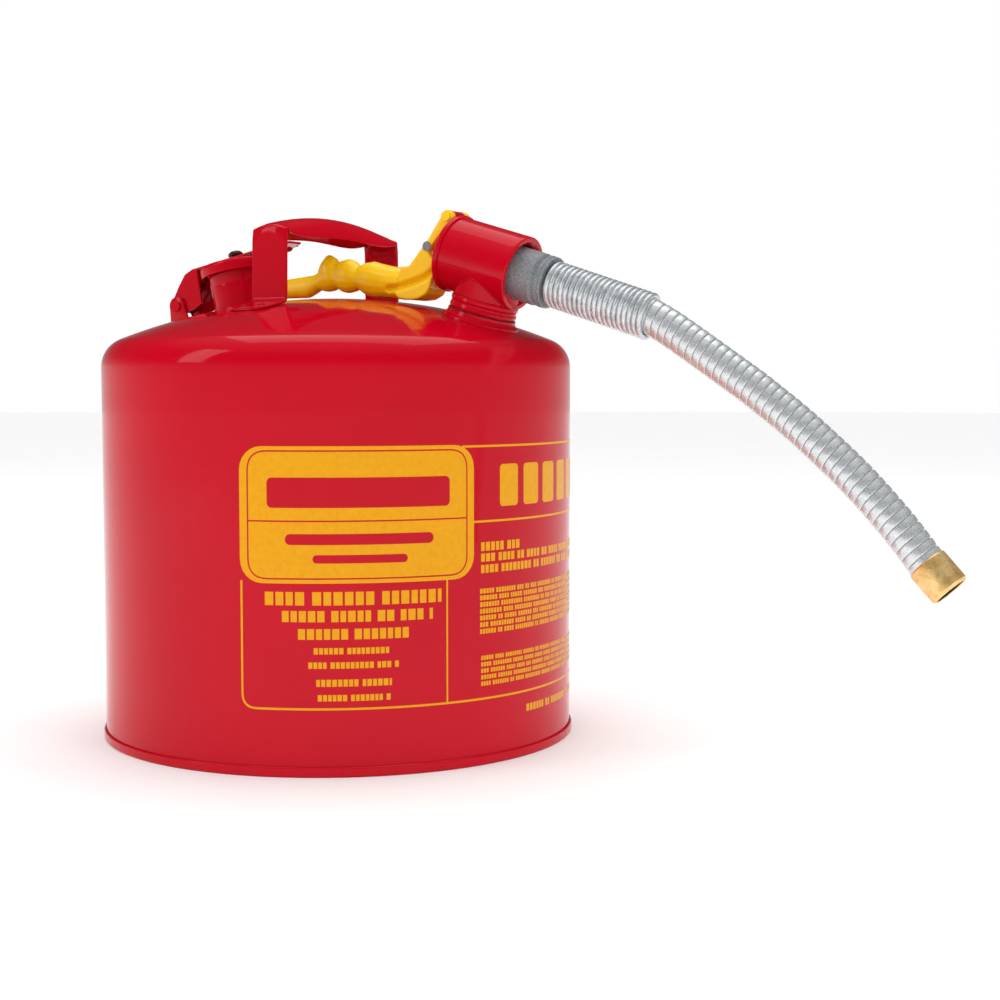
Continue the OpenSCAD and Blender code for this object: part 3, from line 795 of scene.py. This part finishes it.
def strap_run():
    """Half of the strap, from a foot's tip to the grip's middle.

    Each station is y, z, the lean in degrees, the roll and half the width.
    """
    thick = 2.2
    length, top, crown, roll = 132, 338, 8, 13
    leg = length / 2 - thick / 2
    grip = top - thick / 2
    reach, corner = 26, 2.4
    lean = degrees(asin((length / 2 + reach / 2) / DOME_R))
    foot_r = DOME_R + thick / 2 + 0.02
    foot = Vector((-foot_r * sin(radians(lean)), DOME_CZ + foot_r * cos(radians(lean))))
    way = Vector((cos(radians(lean)), sin(radians(lean))))
    tip_end = foot - way * reach / 2
    heel = foot + way * (reach / 2 - 2.6)
    stations = []
    for k in range(13):
        along_foot = (heel - tip_end).length * k / 12
        p = tip_end + way * along_foot
        shy = max(0.0, 5 - along_foot)
        stations.append((p.x, p.y, lean, 0, 14 - 5 + sqrt(25 - shy * shy)))
    stop = Vector((-leg, heel.y + 3.4))
    turn = Vector((-leg, heel.y + 0.6))
    for k in range(1, 10):
        t = k / 10
        p = (1 - t) ** 2 * heel + 2 * t * (1 - t) * turn + t * t * stop
        run = (1 - t) * (turn - heel) + t * (stop - turn)
        stations.append((p.x, p.y, degrees(atan2(run.y, run.x)), 0, 14))
    straight = grip - 12 - stop.y
    stations += [(-leg, stop.y + straight * k / 10, 90, 0.6 * k / 10, 14) for k in range(11)]
    stations += [(-leg, grip - 12 + (8 * k / 5), 90, 0.6 + 1.0 * (k / 5) ** 2, 14) for k in range(1, 5)]
    for k in range(9):
        a = 90 - 80 * k / 8
        stations.append((-leg + corner * (1 - sin(radians(a))), grip - corner + corner * cos(radians(a)), a,
                         1.6 + 2.6 * k / 8, 14))
    for k in range(1, 29):
        y = -(leg - corner) * (1 - k / 28)
        t = y / leg
        stations.append((y, grip + crown * (1 - t * t), -14 * t, 4 + (roll - 4) * (1 - t ** 4), 14))
    return stations


def strap_section(y, z, lean, roll, half):
    """The strap's outline where it leans and rolls by so much; its edges are round."""
    out = Vector((-sin(radians(lean)), cos(radians(lean))))
    edge = 1.1
    top = [2 * k / 22 - 1 for k in range(23)]
    ring = []

    def at(u, lift):
        depth = lift - roll * abs(u) ** 2.6
        ring.append((-8 + u * half, y + depth * out.x, z + depth * out.y))

    for u in top:
        at(u * (1 - edge / 14), edge)
    for a in (60, 30, 0, -30, -60):
        at(1 - edge / 14 * (1 - cos(radians(a))), edge * sin(radians(a)))
    for u in reversed(top):
        at(u * (1 - edge / 14), -edge)
    for a in (-60, -30, 0, 30, 60):
        at(-1 + edge / 14 * (1 - cos(radians(a))), edge * sin(radians(a)))
    return ring


def make_handle():
    half = strap_run()
    other = [(-y, z, -lean, roll, width) for y, z, lean, roll, width in half[-2::-1]]
    rows = [strap_section(*station) for station in half + other]
    shape = Shape()
    first, width = shape.grid(rows)
    shape.cap(first, width)
    shape.cap(first + width * (len(rows) - 1), width)
    shape.piece("strap_handle", "can", "red_paint", RED, ["carry_handle"], crease=45)


make_handle()

# ---- Fill opening ----


def make_fill_neck():
    lip = 1.3
    line = rounded([(19.6, -6), (21, -6), (21, -0.6), (23.4, -0.68), (23.2, 0.6, 0.6), (21, 2.4, 2.0),
                    (21, 26.4, 1.0)], 6)
    line += [Vector(p) for p in arc(21, 30.9 - lip, lip, -60, 90, 10)]
    line += [Vector((19.6, 30.9)), Vector((19.6, -6))]
    shape = Shape()
    shape.lathe([tuple(p) for p in split_long(line, 3)], FILL, 128)
    shape.piece("filler_neck", "can", "red_paint", RED, ["fill_neck"])


def screen(name, node, place, radius, top, bottom, flange_r):
    """A basket of woven screen under a pressed rim."""
    shape = Shape()
    rim = [(radius - 0.8, top - 6), (radius - 0.8, top + 1.2), (flange_r, top + 1.2, 0.3),
           (flange_r, top, 0.3), (radius, top, 0.4), (radius, top - 6), (radius - 0.8, top - 6)]
    shape.lathe(rounded(rim), place, 72)
    wires, rows = 44, 34
    for k in range(wires):
        t = 2 * pi * k / wires
        for lean in (1, -1):
            turns = [t + lean * 0.9 * j / 12 for j in range(13)]
            line = [((radius - 0.4) * cos(a), (radius - 0.4) * sin(a),
                     top - 5 + (bottom - top + 5.4) * j / 12) for j, a in enumerate(turns)]
            shape.tube(line, 0.28, place, 5)
    for k in range(rows):
        ring = (radius - 0.6) * (k + 0.5) / rows
        shape.lathe([(ring - 0.16, bottom + 0.2), (ring + 0.16, bottom + 0.2), (ring + 0.16, bottom + 0.5),
                     (ring - 0.16, bottom + 0.5), (ring - 0.16, bottom + 0.2)], place, 40)
    shape.piece(name, "can", "steel_screen", SCREEN, [node])


def make_hinge_bracket():
    """Two ears on a base plate that follows the dome."""
    ear_in = 11.3
    shape = Shape()
    outline = arc(HINGE.x, HINGE.z, 6.5, -8, 188, 20) + [(-58.2, -3.0), (-40.2, -1.0)]
    for y in (-ear_in - 2, ear_in):
        shape.prism(outline, y, y + 2, FILL, 0.3)
    lean = atan2(-HINGE.x, DOME_R)
    foot = FILL @ Vector((0, 0, -DOME_R))
    up = (FILL @ Vector((0, 0, 1)) - FILL @ Vector((0, 0, 0))).normalized()
    turned = Matrix.Rotation(-lean, 3, "Y") @ up
    place = local_frame(foot + turned * DOME_R * MM, turned)
    rim = rounded([(-12, -13.9, 2), (12, -13.9, 2), (12, 13.9, 2), (-12, 13.9, 2)], 5)
    rows = [[(p.x, p.y, z) for p in line] for line, z in
            ((rim, -0.2), (rim, 1.2), (inset(rim, 0.2), 1.5), (inset(rim, 0.5), 1.62))]
    first, width = shape.grid(rows, place)
    shape.cap(first, width)
    shape.cap(first + width * 3, width)
    shape.piece("hinge_bracket", "can", "red_paint", RED, ["cap_hinge_bracket"])


def make_cap_spring():
    """The torsion spring on the hinge pin: one leg on the bracket, one under the lever."""
    coil = [Vector((HINGE.x + 3.75 * cos(t), y, HINGE.z + 3.75 * sin(t)))
            for t, y in ((pi * 0.3 - 2 * pi * 5.6 * k / 170, -4.9 + 9.8 * k / 170) for k in range(171))]
    low = bend([HINGE + Vector((8.8, -5.0, -14.6)), HINGE + Vector((6.4, -5.0, -8)), coil[0]], 8)
    high = bend([coil[-1], HINGE + Vector((8.4, 5.0, 8.4)), HINGE + Vector((16.2, 5.0, 18.0))], 8)
    shape = Shape()
    shape.tube(low[:-1] + coil + high[1:], 0.85, FILL, 10)
    shape.piece("closing_spring", "lever", "spring_wire", DARK, ["cap_spring"])


def make_relief_spring():
    shape = Shape()
    shape.tube(helix(6.4, 32.9, 36.3, 2.6), 0.75, FILL, 10)
    shape.piece("relief_coil", "lever", "spring_wire", WIRE, ["relief_spring"])


def make_cap():
    """The pressed fill cap: a rolled rim and a dished middle."""
    r, top = 26.5, 35.4
    line = rounded([(2.65, 30.5), (9.0, 30.5, 0.8), (11.6, 34.0, 0.8), (25.1, 34.0, 0.4), (25.1, 27.7),
                    (25.8, 27.4, 0.2), (r, 27.7, 0.3), (r, 33.2, 1.0), (r - 0.8, top, 1.6),
                    (19.5, top, 1.0), (18.8, top - 0.5, 0.8), (18.0, top - 0.5, 0.8), (17.3, top, 1.0),
                    (11.2, top, 1.2), (8.4, 31.9, 0.9), (2.65, 31.9), (2.65, 30.5)], 6)
    shape = Shape()
    shape.lathe([tuple(p) for p in split_long(line, 2)], FILL, 144)
    shape.piece("filler_cap", "cap", "red_paint", RED, ["fill_cap"], crease=42)


def make_stud():
    """The stud through cap and lever, with a mushroom head."""
    head = 41.3
    line = rounded([(0, 28.5), (5, 28.5, 0.4), (5, 30.48), (2.6, 30.48), (2.6, head, 0.3), (5.2, head, 0.4),
                    (5.2, head + 1.5, 1.0), (3.2, head + 3.3, 2.0), (0, head + 3.4)], 6)
    shape = Shape()
    shape.lathe([tuple(p) for p in line], FILL, 48)
    shape.piece("lift_stud", "cap", "dark_stud", DARK, ["cap_stud"])


make_fill_neck()
screen("fill_screen", "fill_flame_arrester", FILL, 18.4, 24, -45, 19.58)
make_hinge_bracket()
make_cap_spring()
make_relief_spring()
make_cap()
make_stud()
softened("cap_lever", "lever_plate", 0.34, 4, "lever", RED)

# ---- Pour valve ----


def make_neck_boss():
    line = rounded([(17.2, -0.36), (25.4, -0.8), (25.2, 0.4, 0.5), (23.0, 1.5, 1.2), (22.4, 3, 0.8),
                    (22.3, 4.6, 0.3), (17.2, 4.6), (17.2, -0.36)], 5)
    shape = Shape()
    shape.lathe([tuple(p) for p in line], POUR, 128)
    shape.piece("neck_boss", "can", "red_paint", RED, ["pour_neck_boss"])


def make_collar():
    """The swivel collar: two shallow ridges over a dark seam."""
    z = 5.2
    line = rounded([(19.42, z), (21.4, z, 0.2), (21.8, z + 0.7, 0.4), (22.0, z + 2.0, 0.8),
                    (21.4, z + 3.6, 0.8), (21.4, z + 4.4, 0.6), (22.0, z + 6.0, 0.8), (21.9, z + 7.6, 0.6),
                    (21.2, z + 8.9, 0.3), (19.42, z + 8.98), (19.42, z)], 6)
    shape = Shape()
    shape.lathe([tuple(p) for p in line], POUR, 128)
    shape.piece("swivel_collar", "can", "red_paint", RED, ["valve_collar"])


def make_valve_body():
    """The barrel on its neck, with a smooth weld round the joint."""
    r, neck = 24.0, 21.6
    barrel = rounded([(19.5, -30.4), (r, -30.4, 0.3), (r, 21.9, 1.1), (20.8, 21.9, 0.6), (18.6, 19.4, 0.4),
                      (18.2, 12.0), (12.1, 12.0), (12.1, 6.0), (19.5, 6.0), (19.5, -30.4)], 6)
    stub = [Vector(p) for p in [(17.2, 5.2), (19.4, 5.2), (19.4, 14.2), (neck, 14.2), (neck, 30),
                                (17.2, 30), (17.2, 5.2)]]
    shape = Shape()
    shape.lathe([tuple(p) for p in split_long(barrel, 3)], VALVE, 160)
    shape.lathe([tuple(p) for p in split_long(stub, 3)], POUR, 160)
    weld = []
    for k in range(160):
        t = 2 * pi * k / 160
        y = (neck + 0.1) * sin(t)
        drop = VALVE_H - sqrt(r * r - y * y)
        weld.append(Vector(((neck + 0.1) * cos(t), y, max(drop, 14.6) - 0.2)))
    weld.append(weld[0])
    shape.tube(weld, 0.5, POUR, 12)
    shape.piece("valve_barrel", "can", "red_paint", RED, ["valve_body"], crease=34)


def make_rear_cap():
    """The barrel's rear rim, with the stem's gland and the lug for the trigger."""
    rear, r, edge = -32.4, 25.2, -30.4
    line = rounded([(5.0, rear - 3.6), (7.5, rear - 3.6, 0.5), (7.5, rear, 0.8), (r - 0.8, rear, 1.0),
                    (r, rear + 0.9, 0.7), (r, edge + 1.9, 0.6), (24.05, edge + 2.0), (24.05, edge),
                    (19.4, edge), (19.4, edge + 3), (5.0, edge + 3), (5.0, rear - 3.6)], 5)
    shape = Shape()
    shape.lathe([tuple(p) for p in split_long(line, 3)], VALVE, 144)
    top = arc(FULCRUM.x, FULCRUM.z, 4, 20, 215, 16)
    shape.prism(top + [(-38.4, 49.5), (-31.9, 47.5), (-31.9, 60.5)], -5.9, 5.9, POUR, 0.5)
    shape.piece("rear_rim", "can", "red_paint", RED, ["valve_rear_cap"])


def make_return_spring():
    back = 6 - 1.9 - 4.6
    shape = Shape()
    shape.tube(helix(8.6, -26.6, back - 0.9, 7), 0.95, VALVE, 10)
    shape.piece("poppet_spring", "can", "spring_wire", WIRE, ["return_spring"])


def near(line, x, z):
    """How far the point is from a line of points."""
    best = 1e9
    spot = Vector((x, z))
    for a, b in zip(line, line[1:]):
        start, run = Vector(a), Vector(b) - Vector(a)
        share = min(max((spot - start).dot(run) / run.length_squared, 0.0), 1.0)
        best = min(best, (spot - start - run * share).length)
    return best


def shape_trigger():
    """The casting, with its fork run into the grip and a groove between each arm and the heel below it."""
    casting = softened("trigger", "trigger_casting", 0.75, 7, "trigger", YELLOW)
    groove = [(46, 297.4), (56, 298.2), (65.6, 300.3), (76.7, 304.1), (82.2, 307.5), (86, 312)]
    groove_depth, groove_width = 3.6, 1.7
    web, free = 4, 20
    grip_z, grip_half_y, grip_half_z = 301.5, 10.2, 11.5
    blend_x, blend_length = 44, 26
    for vertex in casting.data.vertices:
        x, y, z = (c / MM for c in vertex.co)
        if x < blend_x - web:
            continue
        side = abs(y)
        share = min(max((x - blend_x) / blend_length, 0.0), 1.0)
        share = share * share * (3 - 2 * share)
        oval = grip_half_y * sqrt(max(0.12, 1 - ((z - grip_z) / grip_half_z) ** 2))
        side = min(side, (1 - share) * oval + share * free)
        if side > web:
            depth = groove_depth * exp(-(near(groove, x, z) / groove_width) ** 2)
            side -= depth * min(1.0, (side - web) / 3)
        vertex.co.y = side * MM * (1 if y > 0 else -1)
    casting.data.update()


def make_cross_pin():
    """The pin that joins the fork to the stem, with a flat head at each end."""
    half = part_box("stem_cross_pin")[1].y / MM
    under, head_r, pin_r = 11.52, 3.2, 1.25
    line = rounded([(0, -half), (head_r, -half, 0.2), (head_r, -under), (pin_r, -under), (pin_r, under),
                    (head_r, under), (head_r, half, 0.2), (0, half)], 4)
    place = POUR @ Matrix.Translation((-46, 0, 36.5)) @ Matrix.Rotation(-pi / 2, 4, "X")
    shape = Shape()
    shape.lathe([tuple(p) for p in line], place, 40)
    shape.piece("cross_pin", "trigger", "plated_steel", ZINC, ["stem_cross_pin"])


make_neck_boss()
make_collar()
make_valve_body()
make_rear_cap()
make_return_spring()
screen("pour_screen", "pour_flame_arrester", POUR, 15.4, 3, -60, 17.1)
shape_trigger()
make_cross_pin()

# ---- CAD nodes that stay ----

KEPT = {
    "handle_welds": RED, "cap_hinge_pin": RED, "neck_gasket": RUBBER, "stem_packing": RUBBER,
    "gland_nut": BRASS, "valve_seat_ring": BRASS, "fulcrum_pin": YELLOW,
    "valve_stem": PLATED, "poppet_disc": BRASS, "poppet_gasket": RUBBER, "stem_nut": PLATED,
    "cap_gasket": RUBBER,
}
for name, finish in KEPT.items():
    node = frame["nodes"][name]
    node.data.materials.clear()
    node.data.materials.append(finish)

# ---- Floor and light ----


def make_floor():
    shape = Shape()
    shape.lathe([(0, 0), (500, 0), (2000, 0), (6000, 0), (14000, 0)], CAN, 64)
    mesh = bpy.data.meshes.new("floor")
    mesh.from_pydata([tuple(p) for p in shape.points], [], shape.faces)
    floor = bpy.data.objects.new("floor", mesh)
    SCENE.collection.objects.link(floor)
    tidy_mesh(mesh, 38)
    mesh.materials.append(pale_floor())


def softbox(name, at, size, power, shine=True):
    """A large area light that looks at the can's middle; without shine, gloss doesn't show it."""
    data = bpy.data.lights.new(name, "AREA")
    data.shape = "RECTANGLE"
    data.size, data.size_y = size
    data.energy = power
    light = bpy.data.objects.new(name, data)
    light.visible_glossy = shine
    light.location = at
    light.rotation_euler = (Vector((0.05, 0, 0.17)) - Vector(at)).to_track_quat("-Z", "Y").to_euler()
    SCENE.collection.objects.link(light)


def make_world():
    """An even white studio, with a darker wall round the can for gloss to reflect."""
    world = bpy.data.worlds.new("studio")
    world.use_nodes = True
    SCENE.world = world
    tree = world.node_tree
    tree.nodes.clear()
    place = tree.nodes.new("ShaderNodeTexCoord")
    parts = tree.nodes.new("ShaderNodeSeparateXYZ")
    ramp = tree.nodes.new("ShaderNodeValToRGB")
    low, high = ramp.color_ramp.elements
    low.position, low.color = 0.0, (0.7, 0.7, 0.7, 1)
    high.position, high.color = 0.92, (0.5, 0.5, 0.5, 1)
    for share, grey in ((0.06, 0.36), (0.2, 0.1), (0.34, 0.04), (0.62, 0.06)):
        ramp.color_ramp.elements.new(share).color = (grey, grey, grey, 1)
    wall = tree.nodes.new("ShaderNodeBackground")
    white = tree.nodes.new("ShaderNodeBackground")
    white.inputs["Color"].default_value = (1, 1, 1, 1)
    rays = tree.nodes.new("ShaderNodeLightPath")
    mix = tree.nodes.new("ShaderNodeMixShader")
    out = tree.nodes.new("ShaderNodeOutputWorld")
    tree.links.new(place.outputs["Generated"], parts.inputs["Vector"])
    tree.links.new(parts.outputs["Z"], ramp.inputs["Fac"])
    tree.links.new(ramp.outputs["Color"], wall.inputs["Color"])
    tree.links.new(rays.outputs["Is Glossy Ray"], mix.inputs["Fac"])
    tree.links.new(white.outputs["Background"], mix.inputs[1])
    tree.links.new(wall.outputs["Background"], mix.inputs[2])
    tree.links.new(mix.outputs["Shader"], out.inputs["Surface"])


make_floor()
make_world()
softbox("key", (-1.5, -2.0, 1.5), (0.7, 1.8), 11)
softbox("fill", (2.3, -0.6, 1.3), (0.6, 1.6), 5, shine=False)
softbox("top", (-0.2, 0.6, 2.6), (2.4, 1.8), 18)
SCENE.view_settings.view_transform = "Standard"
